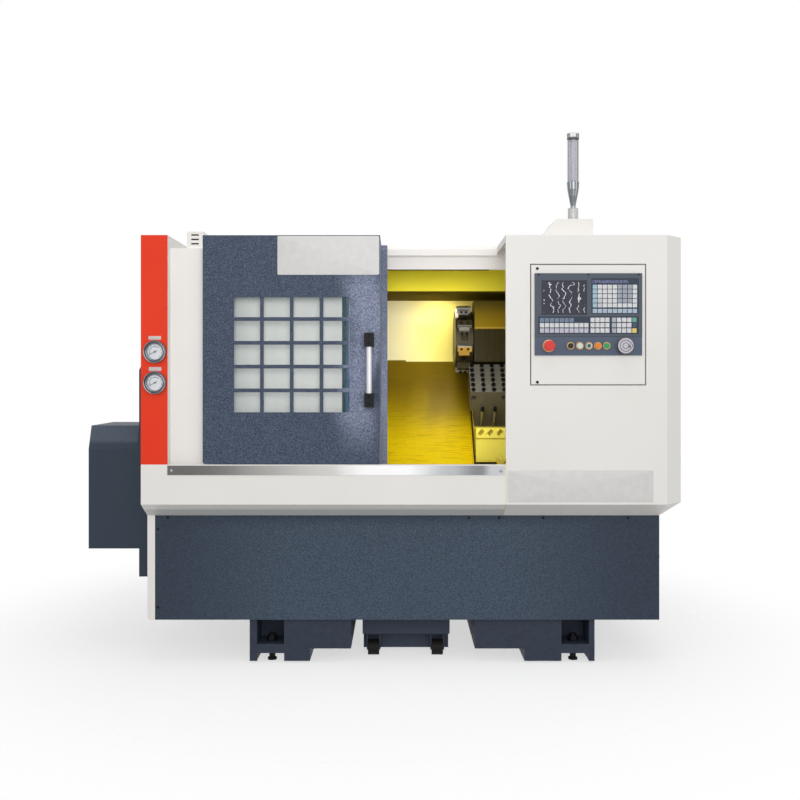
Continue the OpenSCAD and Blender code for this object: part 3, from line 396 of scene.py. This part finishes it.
# Splash liner and way covers: polished sheet in warm yellow light, a bright panel at the
# rear, a dark low roof and a bent front strip, with telescoping plates over the slant.
liner_sheet = Finish("yellow_liner", Specular_IOR_Level=0.12).on("splash_liner")
x, y, z = liner_sheet.axes()
clouds = liner_sheet.noise(5, 3)
strip_tone = liner_sheet.mix(clouds, shade(250, 228, 14), shade(255, 250, 90))
glare = ramp(liner_sheet, x + clouds * 0.25, 0.0, 0.5)
rear_tone = liner_sheet.mix(glare, shade(244, 238, 200), shade(238, 221, 114))
shadow_tone = liner_sheet.mix(clouds, shade(94, 79, 0), shade(118, 99, 0))
strip_back, rear_panel = -0.0545, 0.3515
behind_strip, at_rear = y > strip_back, y > rear_panel
tone = liner_sheet.mix(behind_strip, strip_tone, shadow_tone)
tone = liner_sheet.mix(at_rear, tone, rear_tone)
side_wall = (x < -0.124) * (y < -0.1)
low_roof = behind_strip * (y < rear_panel)
liner_sheet.set(Base_Color=liner_sheet.mix(side_wall, tone, shade(86, 122, 214)),
                Metallic=0.2 - 0.2 * side_wall,
                Roughness=0.32 + 0.1 * clouds + 0.5 * (side_wall + low_roof))
liner_sheet.bump(liner_sheet.noise(700, 2, (0.03, 1, 1)) * (1 - side_wall), 0.00025, 0.12)


def yellow_sheet(name, along, metal):
    """Polished sheet with a warm lacquer: long brushing lines and broad clouds in its gloss."""
    made = Finish(name, Metallic=metal, Specular_IOR_Level=0.12)
    made.lines = made.noise(700, 2, along)
    made.cloud = made.noise(4.5, 3)
    made.set(Roughness=0.26 + 0.16 * made.lines + 0.1 * made.cloud)
    return made.bump(made.lines, 0.00025, 0.12)


way_sheet = yellow_sheet("yellow_way_cover", (0.03, 1, 1), 0.05)
x, _, z = way_sheet.axes()
streaks = way_sheet.noise(260, 3, (0.04, 1, 1))
folds = way_sheet.noise(9, 2, (1, 0.3, 0.3))
# Painted reflection: the covers go from bright yellow low down to dark olive higher up, as they mirror the
# bright floor and the dark roof.
reflection_rise = ramp(way_sheet, z + folds * 0.1 + streaks * 0.05, 0.86, 1.16)
tone = way_sheet.mix(reflection_rise, shade(240, 206, 0), shade(126, 104, 16))
# A darker patch to the right, high up.
dark_right_patch = ramp(way_sheet, x + folds * 0.16, 0.26, 0.36) * ramp(way_sheet, z, 0.86, 0.98)
tone = way_sheet.mix(dark_right_patch * 0.5, tone, shade(104, 84, 10))
way_sheet.set(Base_Color=way_sheet.mix((streaks > 0.6) * 0.4, tone, shade(146, 116, 0)))
way_sheet.on("way_cover_fixed", "way_cover_moving")


# Headstock and spindle: grey iron housing, ground steel spindle with its draw
# cylinder behind and the collet chuck in front, driven by a ribbed belt.
plain("grey_enamel", shade(120, 124, 128), 0.45, 0.0, 90, 0.0008).on("headstock")
brushed("ground_steel", shade(190, 190, 188), 0.26, (1, 0.05, 0.05)).on(
    "spindle", "chuck_body", "collet", "chuck_cylinder", "z_ballscrew", "x_ballscrew", "z_rails")
plain("motor_enamel", shade(44, 46, 50), 0.45, 0.1, 150, 0.0006).on("spindle_motor", "z_servo")
brushed("pulley_metal", shade(176, 178, 180), 0.32, (1, 0.05, 0.05)).on("motor_pulley")
plain("belt_rubber", shade(28, 28, 30), 0.7, 0.0, 500, 0.0005).on("drive_belt")


# Slides: saddle and cross slide in grey iron under a yellow notched front cover;
# the saddle rides the rails and carries the covers with it.
plain("saddle_iron", shade(112, 108, 92), 0.5, 0.3, 110, 0.0006).on("z_saddle")
slide_sheet = yellow_sheet("yellow_slide_cover", (1, 0.03, 0.03), 0.0).on("x_slide")
slide_low = shade(255, 232, 70)
tone = slide_sheet.mix(slide_sheet.cloud, slide_low, shade(255, 246, 120))
slide_sheet.set(Base_Color=slide_sheet.mix(slide_sheet.lines * 0.35, tone, slide_low))


# Tool carriers: gang block of ground tool steel with rows of black clamp screws, two
# coolant pipes before it, and a drum turret with bolted holders beside its folded cover.
tool_steel = brushed("tool_steel", None, 0.36, (1, 0.06, 0.06), 0.4).on("gang_block")
_, y, z = tool_steel.axes()
# Painted light: the top face of the gang block is lighter than its front.
lit_top_face = (z - y) > 1.1665
tone = tool_steel.mix(lit_top_face, shade(108, 104, 92), shade(150, 147, 136))
tool_steel.set(Base_Color=tool_steel.mix(tool_steel.lines * 0.35, tone, shade(84, 80, 70)))
drum_y, drum_z, rim_radius = 0.123734, 1.274932, 0.1275
drum_steel = Finish("drum_steel", Metallic=0.4, Specular_IOR_Level=0.3)
_, y, z = drum_steel.axes()
y, z = y - drum_y, z - drum_z
radius = drum_steel.add("ShaderNodeMath", {"operation": "SQRT"}, {0: y * y + z * z})
angle = drum_steel.add("ShaderNodeMath", {"operation": "ARCTAN2"}, {0: y, 1: z})
angle = angle / math.radians(22.5)
band = drum_steel.add("ShaderNodeMath", {"operation": "FLOOR"}, {0: angle})
oil = drum_steel.noise(40, 3)
tone = drum_steel.mix(abs(band % 4 - 1) < 0.5, shade(200, 198, 188), shade(84, 76, 52))
tone = drum_steel.mix(abs(angle + 5.4) < 0.75, tone, shade(216, 170, 66))
tone = drum_steel.mix(radius < rim_radius, tone, shade(64, 56, 34))
drum_steel.set(Base_Color=drum_steel.mix(oil * 0.5, tone, shade(56, 50, 30)), Roughness=0.3 + 0.2 * oil)
drum_steel.on("turret_disc")
turret_cover = Finish("turret_cover", Specular_IOR_Level=0.12)
_, _, z = turret_cover.axes()
pressed = turret_cover.noise(60, 2, (1, 1, 0.03))
# Painted shade: the hood darkens towards the top, and the face below the fold is darker still; a lighter line
# runs along the fold.
hood_shade = ramp(turret_cover, z, 1.46, 1.33)
tone = turret_cover.mix(hood_shade, shade(79, 69, 5), shade(162, 132, 5))
tone = turret_cover.mix(z < 1.3205, tone, turret_cover.mix(pressed, shade(44, 40, 16), shade(72, 63, 20)))
hood_edge = abs(z - 1.3215) < 0.004
turret_cover.set(Base_Color=turret_cover.mix(hood_edge, tone, shade(206, 172, 60)),
                 Roughness=0.36 + 0.14 * pressed)
turret_cover.bump(pressed, 0.0003, 0.15).on("turret_body")
plain("pipe_metal", shade(168, 168, 166), 0.26, 0.8, 80).on("coolant_pipes")


slant_share = math.sqrt(0.5)
slope_y, slope_z = 450, 635


def slant(x, u, w):
    """A point of the slanted frame: u runs up the slant, w stands off it, both at 45 degrees."""
    x, u, w = np.broadcast_arrays(*(np.asarray(value, float) for value in (x, u, w)))
    return at(x, slope_y + (u - w) * slant_share, slope_z + (u + w) * slant_share)


up_slant = np.array([0, 1, 1]) * slant_share
off_slant = np.array([0, -1, 1]) * slant_share
socket_head = [(0, -1), (9.4, -1), (9.4, 6.4), (8.6, 7.2), (5.2, 7.2), (5.0, 3.5), (0, 3.4)]
columns, rows = np.meshgrid(1288 + 44 * np.arange(8), 347 + 29.6 * np.arange(6))
station = (np.arange(8) + 0.5)[:, None] * np.pi / 4
outward = np.sin(station) * up_slant - np.cos(station) * off_slant
along = np.cos(station) * up_slant + np.sin(station) * off_slant
drum = np.array([0.0, drum_y, drum_z])
spots = [(-11, 1243, 152), (-11, 1272, 152), (38, 1246, 144), (38, 1266, 144)]
holder_seats = np.concatenate([drum + along * side / 1000 + outward * reach / 1000 + at(x, front_face, 0)
                               for side, x, reach in spots])
turned("holder_screws", [(0, -3), (6, -3), (6, 1.6), (5.4, 2.2), (3.4, 2.2), (3.2, 0.6), (0, 0.5)],
       holder_seats, np.tile(outward, (4, 1)), "turret", black_oxide, 12)
block_top, pipe_row = 237, 328
turned("gang_clamp_screws", socket_head, slant(columns.ravel(), rows.ravel(), block_top), off_slant,
       "cross", black_oxide, 12)
nozzle = [(0, 128), (7.4, 128), (8.6, 131), (8.6, 138), (6, 146), (3, 148), (2.6, 140), (0, 139)]
turned("coolant_nozzles", nozzle, slant([1332, 1386], pipe_row, 0), off_slant, "cross", black_oxide)


# Sliding door: dark speckled sheet boxed at the right, with a five-by-four grid of
# cut-outs glazed from behind, a tube handle on black end blocks and a bare plate.
door_coat = speckled("door_speckle").on("door_panel")
x, _, z = door_coat.axes()
fleck = ramp(door_coat, door_coat.noise(330, 3), 0.38, 0.66)
across = x + (door_coat.noise(4, 2) - 0.5) * 0.14
# Painted sheen: a broad lighter band towards the door's right side, at mid height, and a lighter flange at
# its edge.
painted_sheen = ramp(door_coat, across, -0.17, -0.06) * ramp(door_coat, abs(z - 1.2), 0.42, 0.2)
painted_sheen = painted_sheen * ramp(door_coat, across, 0.03, -0.02) + ramp(door_coat, x, 0.013, 0.016) * 0.9
ground = door_coat.mix(painted_sheen, shade(48, 58, 76), shade(92, 100, 124))
light = door_coat.mix(painted_sheen, shade(84, 95, 114), shade(156, 164, 188))
door_coat.set(Base_Color=door_coat.mix(fleck, ground, light))
pane = Finish("door_pane", Base_Color=shade(120, 176, 178), Roughness=0.08)
pane.set(Alpha=0.06 + 0.03 * pane.noise(3))
pane.on("door_window")
brushed("handle_metal", shade(214, 215, 218), 0.3, (1, 1, 0.03), 0.6).on("handle_bar")
plain("black_plastic", shade(22, 22, 24), 0.42, 0.0, 400, 0.0003, 0.15).on("handle_mounts")
turned("handle_screws", [(0, -1), (5.5, -1), (5.5, -0.2), (4.8, 0), (3, 0), (2.8, -0.6), (0, -0.7)],
       at(857, -44, [1006, 1032, 1231, 1257]), forward, "door", black_oxide, 14)
door_face = -4
pads("door_plate", (512, 894, 1489, 1635), door_face + 1.4, door_face, 5, 0.7, "door", bare_card)


# Control housing: white folded cabinet with a bevelled corner, quarter-turn locks on
# its side door, and a sloping plinth for the lamp welded to its roof.
white_coat.on("side_door")
housing_coat = white_sheet("housing_powder_coat").on("control_housing")
x, y, z = housing_coat.axes()
lined = (x < 0.4885) * (y < -0.28) * (z < 0.8)
housing_coat.set(Base_Color=housing_coat.mix(lined, housing_coat.tone, shade(206, 182, 62)))
turned("side_lock_keys", [(0, 0), (9, 0), (9, 1.5), (7, 2.4), (2.6, 2.4), (2.4, 1), (0, 1)],
       at(2055, 140, [866, 1446]), rightward, "side", chrome, 24)


# Tower lamp: chromed tapered stem screwed to the plinth in a ribbed collar; a clear smoky
# tube round a pale ribbed core, held between two chromed rods.
lamp_chrome = plain("lamp_chrome", shade(128, 132, 136), 0.14, 1.0, 25).on("tower_lamp_stem")
tube = Finish("lamp_tube", Base_Color=shade(120, 116, 122), Roughness=0.1)
tube.set(Alpha=0.1 + 0.06 * tube.noise(40, 1, (1, 1, 0.02)))
tube.on("tower_lamp_lens")
core_white = plain("lamp_core", shade(214, 211, 222), 0.4, 0.0, 60)
grey_cap_and_gap_shade = plain("grey_cap_and_gap_shade", shade(116, 117, 118), 0.6, 0.0, 200, 0.0, 0.2)
lamp_seat = at(1648, 150, [0])
core_z = np.linspace(1868, 2030, 82)
core = np.stack([np.where(np.arange(82) % 2, 12.6, 11.4), core_z], -1)
core = np.concatenate([[(0, 1867.5)], core, [(0, 2030.5)]])
turned("lamp_core", core, lamp_seat, upward, "machine", core_white, 32)
turned("lamp_cap", [(0, 2034), (23.4, 2034), (23.4, 2038), (22, 2039), (0, 2039)],
       lamp_seat, upward, "machine", grey_cap_and_gap_shade, 40)
rod = [(0, 1866), (3.4, 1866), (3.4, 2040), (5.6, 2041), (6.2, 2044), (6.2, 2052), (4.5, 2056), (0, 2056.9)]
turned("lamp_rods", rod, at([1630.5, 1665.5], 150, 0), upward, "machine", lamp_chrome)
collar_z = np.linspace(1718, 1762, 23)
collar = np.stack([np.where(np.arange(23) % 4 == 0, 19.05, 20.4), collar_z], -1)
collar = np.concatenate([[(18.9, 1718)], collar, [(18.9, 1762)]])
turned("lamp_collar", collar, lamp_seat, upward, "machine",
       plain("collar_metal", shade(196, 195, 194), 0.3, 0.6, 80), 40)


# Swing-out control panel: white sheet hatch with a grey edge strip, painted shade for the
# gap round it, and the control unit, its screen, two sheets of embossed keys and a row of
# push buttons with a jog wheel.
white_coat.on("panel_plate")
hatch_left, hatch_right, hatch_low, hatch_high = 1462, 1893, 1076, 1528
corner_x = np.array([hatch_left, hatch_right, hatch_right, hatch_left], float)
corner_z = np.array([hatch_low, hatch_low, hatch_high, hatch_high], float)
inset = np.array([0.0, 0.0, 2.0, 2.0, 0.0])[:, None]
lift = np.array([0.0, -0.7, -0.7, 0.0, 0.0])[:, None]
edge = at(corner_x + inset * (1, -1, -1, 1), lift, corner_z + inset * (1, 1, -1, -1))
# Painted shade: a thin grey strip round the hatch stands for the shaded gap at its edge.
piece("hatch_edge", edge, grid_quads(1, 5, 4), "hatch", grey_cap_and_gap_shade)
plain("unit_grey", shade(80, 88, 99), 0.5, 0.0, 500, 0.0004, 0.25).on("cnc_fascia")
plain("switch_grey", shade(82, 93, 112), 0.45, 0.0, 500, 0.0003, 0.25).on("switch_plate")
turned("hatch_screws", [(0, -1), (5.4, -1), (5.4, 1.8), (4.8, 2.4), (2.6, 2.4), (2.4, 1.0), (0, 0.9)],
       at(1487, 0, [1512, 1086]), forward, "hatch", black_oxide, 16)
turned("unit_screws", [(0, 7.8), (3.4, 7.8), (3.4, 8.4), (2.4, 8.9), (0, 9.0)],
       at([1491, 1677, 1865], 0, 1489), forward, "hatch", black_oxide, 12)


def panel_zone(finish, left, right, low, high):
    """1 inside a rectangle of the panel in mm, else 0."""
    x, _, z = finish.axes()
    across = (x > (left - left_wall) / 1000) * (x < (right - left_wall) / 1000)
    return across * ((z > low / 1000) * (z < high / 1000))


screen = Finish("screen_glass", Roughness=0.3, Specular_IOR_Level=0.12)
x, _, _ = screen.axes()
wander = screen.noise(26, 3, (0.5, 1, 1))
lane = (x * 38 + wander * 3.4) % 1
broken = screen.noise(70, 1) > 0.4
glow = screen.noise(14, 2)
dark_face = screen.mix(glow, shade(44, 45, 57), shade(64, 63, 76))
field = panel_zone(screen, 1510, 1664, 1346, 1460)
trace = (abs(lane - 0.5) < 0.05) * broken * field
screen.set(Base_Color=screen.mix(trace, dark_face, shade(220, 222, 228)))
screen.on("display_screen")

keys = Finish("key_sheets", Specular_IOR_Level=0.3)
_, y, _ = keys.axes()
sheet_face, key_face = -8.5, -9.9
raised = y < (sheet_face - front_face) / 1000
tone = keys.mix(raised, shade(36, 49, 66), shade(212, 213, 215))
for colour, spot in [
        (shade(160, 190, 204), (1690, 1709, 1362, 1452)), (shade(158, 164, 174), (1786, 1841, 1382, 1452)),
        (shade(196, 196, 200), (1709, 1730, 1362, 1397)), (shade(168, 184, 198), (1690, 1862, 1340, 1362)),
        (shade(110, 126, 148), (1476, 1640, 1309, 1332)), (shade(190, 187, 200), (1476, 1682, 1268, 1288)),
        (shade(168, 173, 182), (1762, 1783, 1268, 1332)), (shade(100, 162, 140), (1838, 1866, 1309, 1332)),
        (shade(60, 76, 100), (1838, 1866, 1288, 1309)), (shade(226, 200, 100), (1838, 1866, 1268, 1288))]:
    tone = keys.mix(panel_zone(keys, *spot) * raised, tone, colour)
printed = keys.mix(keys.noise(240, 1, (1, 1, 0.4)) > 0.52, shade(98, 104, 136), shade(58, 66, 96))
tone = keys.mix(panel_zone(keys, 1692, 1826, 1457, 1468), tone, printed)
legend = (keys.noise(330, 1) > 0.6) * (y < (key_face - front_face) / 1000)
keys.set(Base_Color=keys.mix(legend * 0.5, tone, shade(60, 64, 72)), Roughness=0.42 + 0.1 * keys.noise(600))
keys.on("keypads")

bezels = Finish("bezel_ring", Metallic=0.3)
tone = bezels.mix(panel_zone(bezels, 1770, 1860, 1180, 1265), shade(176, 140, 84), shade(60, 62, 68))
bezels.set(Base_Color=bezels.mix(panel_zone(bezels, 1500, 1560, 1190, 1255), tone, shade(214, 160, 110)),
           Roughness=0.28 + 0.1 * bezels.noise(300))
bezels.on("switch_bezels")
for name, colour in [
        ("estop_button", shade(220, 58, 50)), ("black_button", shade(26, 26, 28)),
        ("white_button", shade(206, 220, 220)), ("lamp_button", shade(14, 104, 82)),
        ("orange_button", shade(234, 128, 26)), ("green_button", shade(30, 158, 96))]:
    plain(name + "_plastic", colour, 0.3, 0.0, 250, 0.0, 0.2).on(name)
row_z, wheel_x = 1222, 1813
turned("lamp_button_ring", [(7.4, 14.6), (7.4, 15.6), (9.9, 15.6), (9.9, 14.6)], at(1678.5, 0, [row_z]),
       forward, "key_lamp", core_white, 32)

wheel_metal = Finish("wheel_metal", Metallic=0.9)
x, _, z = wheel_metal.axes()
x, z = x - (wheel_x - left_wall) / 1000, z - row_z / 1000
radius = wheel_metal.add("ShaderNodeMath", {"operation": "SQRT"}, {0: x * x + z * z})
turning = (radius * 420 + wheel_metal.noise(60) * 0.4) % 1
# Painted shade: two dark rings on the wheel face stand for the shade in its grooves.
groove_shade = (abs(radius - 0.021) < 0.0012) + (abs(radius - 0.011) < 0.001)
tone = wheel_metal.mix(turning, shade(112, 108, 114), shade(160, 158, 164))
wheel_metal.set(Base_Color=wheel_metal.mix(groove_shade, tone, shade(58, 54, 60)), Roughness=0.26 + 0.1 * turning)
wheel_metal.on("handwheel")


# Coolant tank: welded dark sheet tray that rolls out between the legs on two
# black rubber casters in front and skids behind.
tank_coat = speckled("tank_speckle").on("coolant_tank")
spread = tank_coat.add("ShaderNodeMapRange", {}, {0: tank_coat.fleck, 1: 0.42, 2: 0.62})
tank_coat.set(Base_Color=tank_coat.mix(spread, shade(46, 53, 68), shade(62, 71, 87)))
black_rubber.on("caster_left", "caster_right")


# Studio: a pale floor that keeps the soft shadow, an even white surround, four broad
# lamps in front, above and to the sides, and two small ones in and before the work area.
def studio_white(name, level):
    """White to the camera, mirrors and glass; level is what other rays get from it."""
    made = bpy.data.worlds.new(name)
    made.use_nodes = True
    tree = made.node_tree
    path = tree.nodes.new("ShaderNodeLightPath")
    first = tree.nodes.new("ShaderNodeMath")
    first.operation = "MAXIMUM"
    second = tree.nodes.new("ShaderNodeMath")
    second.operation = "MAXIMUM"
    blend = tree.nodes.new("ShaderNodeMix")
    tree.links.new(path.outputs["Is Camera Ray"], first.inputs[0])
    tree.links.new(path.outputs["Is Glossy Ray"], first.inputs[1])
    tree.links.new(first.outputs[0], second.inputs[0])
    tree.links.new(path.outputs["Is Transmission Ray"], second.inputs[1])
    tree.links.new(second.outputs[0], blend.inputs[0])
    blend.inputs[2].default_value = level
    blend.inputs[3].default_value = 1.0
    tree.links.new(blend.outputs[0], tree.nodes["Background"].inputs["Strength"])
    tree.nodes["Background"].inputs["Color"].default_value = (1, 1, 1, 1)
    return made


bpy.context.scene.world = studio_white("even_surround", 0.5)
floor_finish = Finish("studio_floor", Base_Color=(0.94, 0.94, 0.94, 1), Roughness=0.9, Specular_IOR_Level=0.0)
floor_mesh = bpy.data.meshes.new("studio_floor")
floor_mesh.from_pydata([(-40, -20, 0), (40, -20, 0), (40, 60, 0), (-40, 60, 0)], [], [(0, 1, 2, 3)])
floor = bpy.data.objects.new("studio_floor", floor_mesh)
bpy.context.collection.objects.link(floor)
floor_finish.on(floor)
x, y, _ = floor_finish.axes()
reach = floor_finish.add("ShaderNodeMath", {"operation": "SQRT"}, {0: x * x + y * y})
fade = 0.62 + 0.38 * ramp(floor_finish, reach, 1.1, 2.2)
clear = floor_finish.add("ShaderNodeBsdfTransparent", {}, {})
matt = Value(floor_finish, floor_finish.shader.outputs[0])
both = floor_finish.add("ShaderNodeMixShader", {}, {0: fade, 1: matt, 2: clear})
floor_finish.tree.links.new(both.socket, floor_finish.tree.nodes["Material Output"].inputs["Surface"])


def lamp(name, place, aim, size, watts, tint=(1, 1, 1)):
    """A broad square lamp at place that faces aim."""
    data = bpy.data.lights.new(name, "AREA")
    data.size = size
    data.energy = watts
    data.color = tint
    made = bpy.data.objects.new(name, data)
    made.location = place
    way = np.asarray(aim, float) - place
    tilt = math.acos(-way[2] / np.linalg.norm(way))
    made.rotation_euler = (tilt, 0, math.atan2(way[1], way[0]) - math.pi / 2)
    bpy.context.collection.objects.link(made)


lamp("front_lamp", (0.6, -6.0, 2.6), (0, 0, 1.0), 3.5, 115)
lamp("left_lamp", (-4.5, -3.5, 3.0), (0, 0, 1.0), 2.5, 40)
lamp("right_lamp", (4.5, -3.0, 2.4), (0, 0, 1.0), 2.5, 30)
lamp("top_lamp", (0.5, -1.0, 5.0), (0, 0, 0.5), 3.0, 60)
lamp("work_light", (0.3, 0.09, 1.42), (0.15, 0.35, 1.0), 0.16, 0.95, (1.0, 0.96, 0.86))
lamp("opening_light", (0.32, -0.5, 1.06), (0.34, 0.1, 1.06), 0.35, 1.3, (1.0, 0.98, 0.94))

camera_data = bpy.data.cameras.new("front_view")
camera_data.lens = 43.2
camera_data.sensor_width = 36.0
camera_data.shift_y = -0.03125
camera = bpy.data.objects.new("front_view", camera_data)
camera.location = (0.08975, -4.248, 1.113)
camera.rotation_euler = (math.pi / 2, 0, 0)
bpy.context.collection.objects.link(camera)
bpy.context.scene.camera = camera
bpy.context.scene.view_settings.view_transform = "Standard"
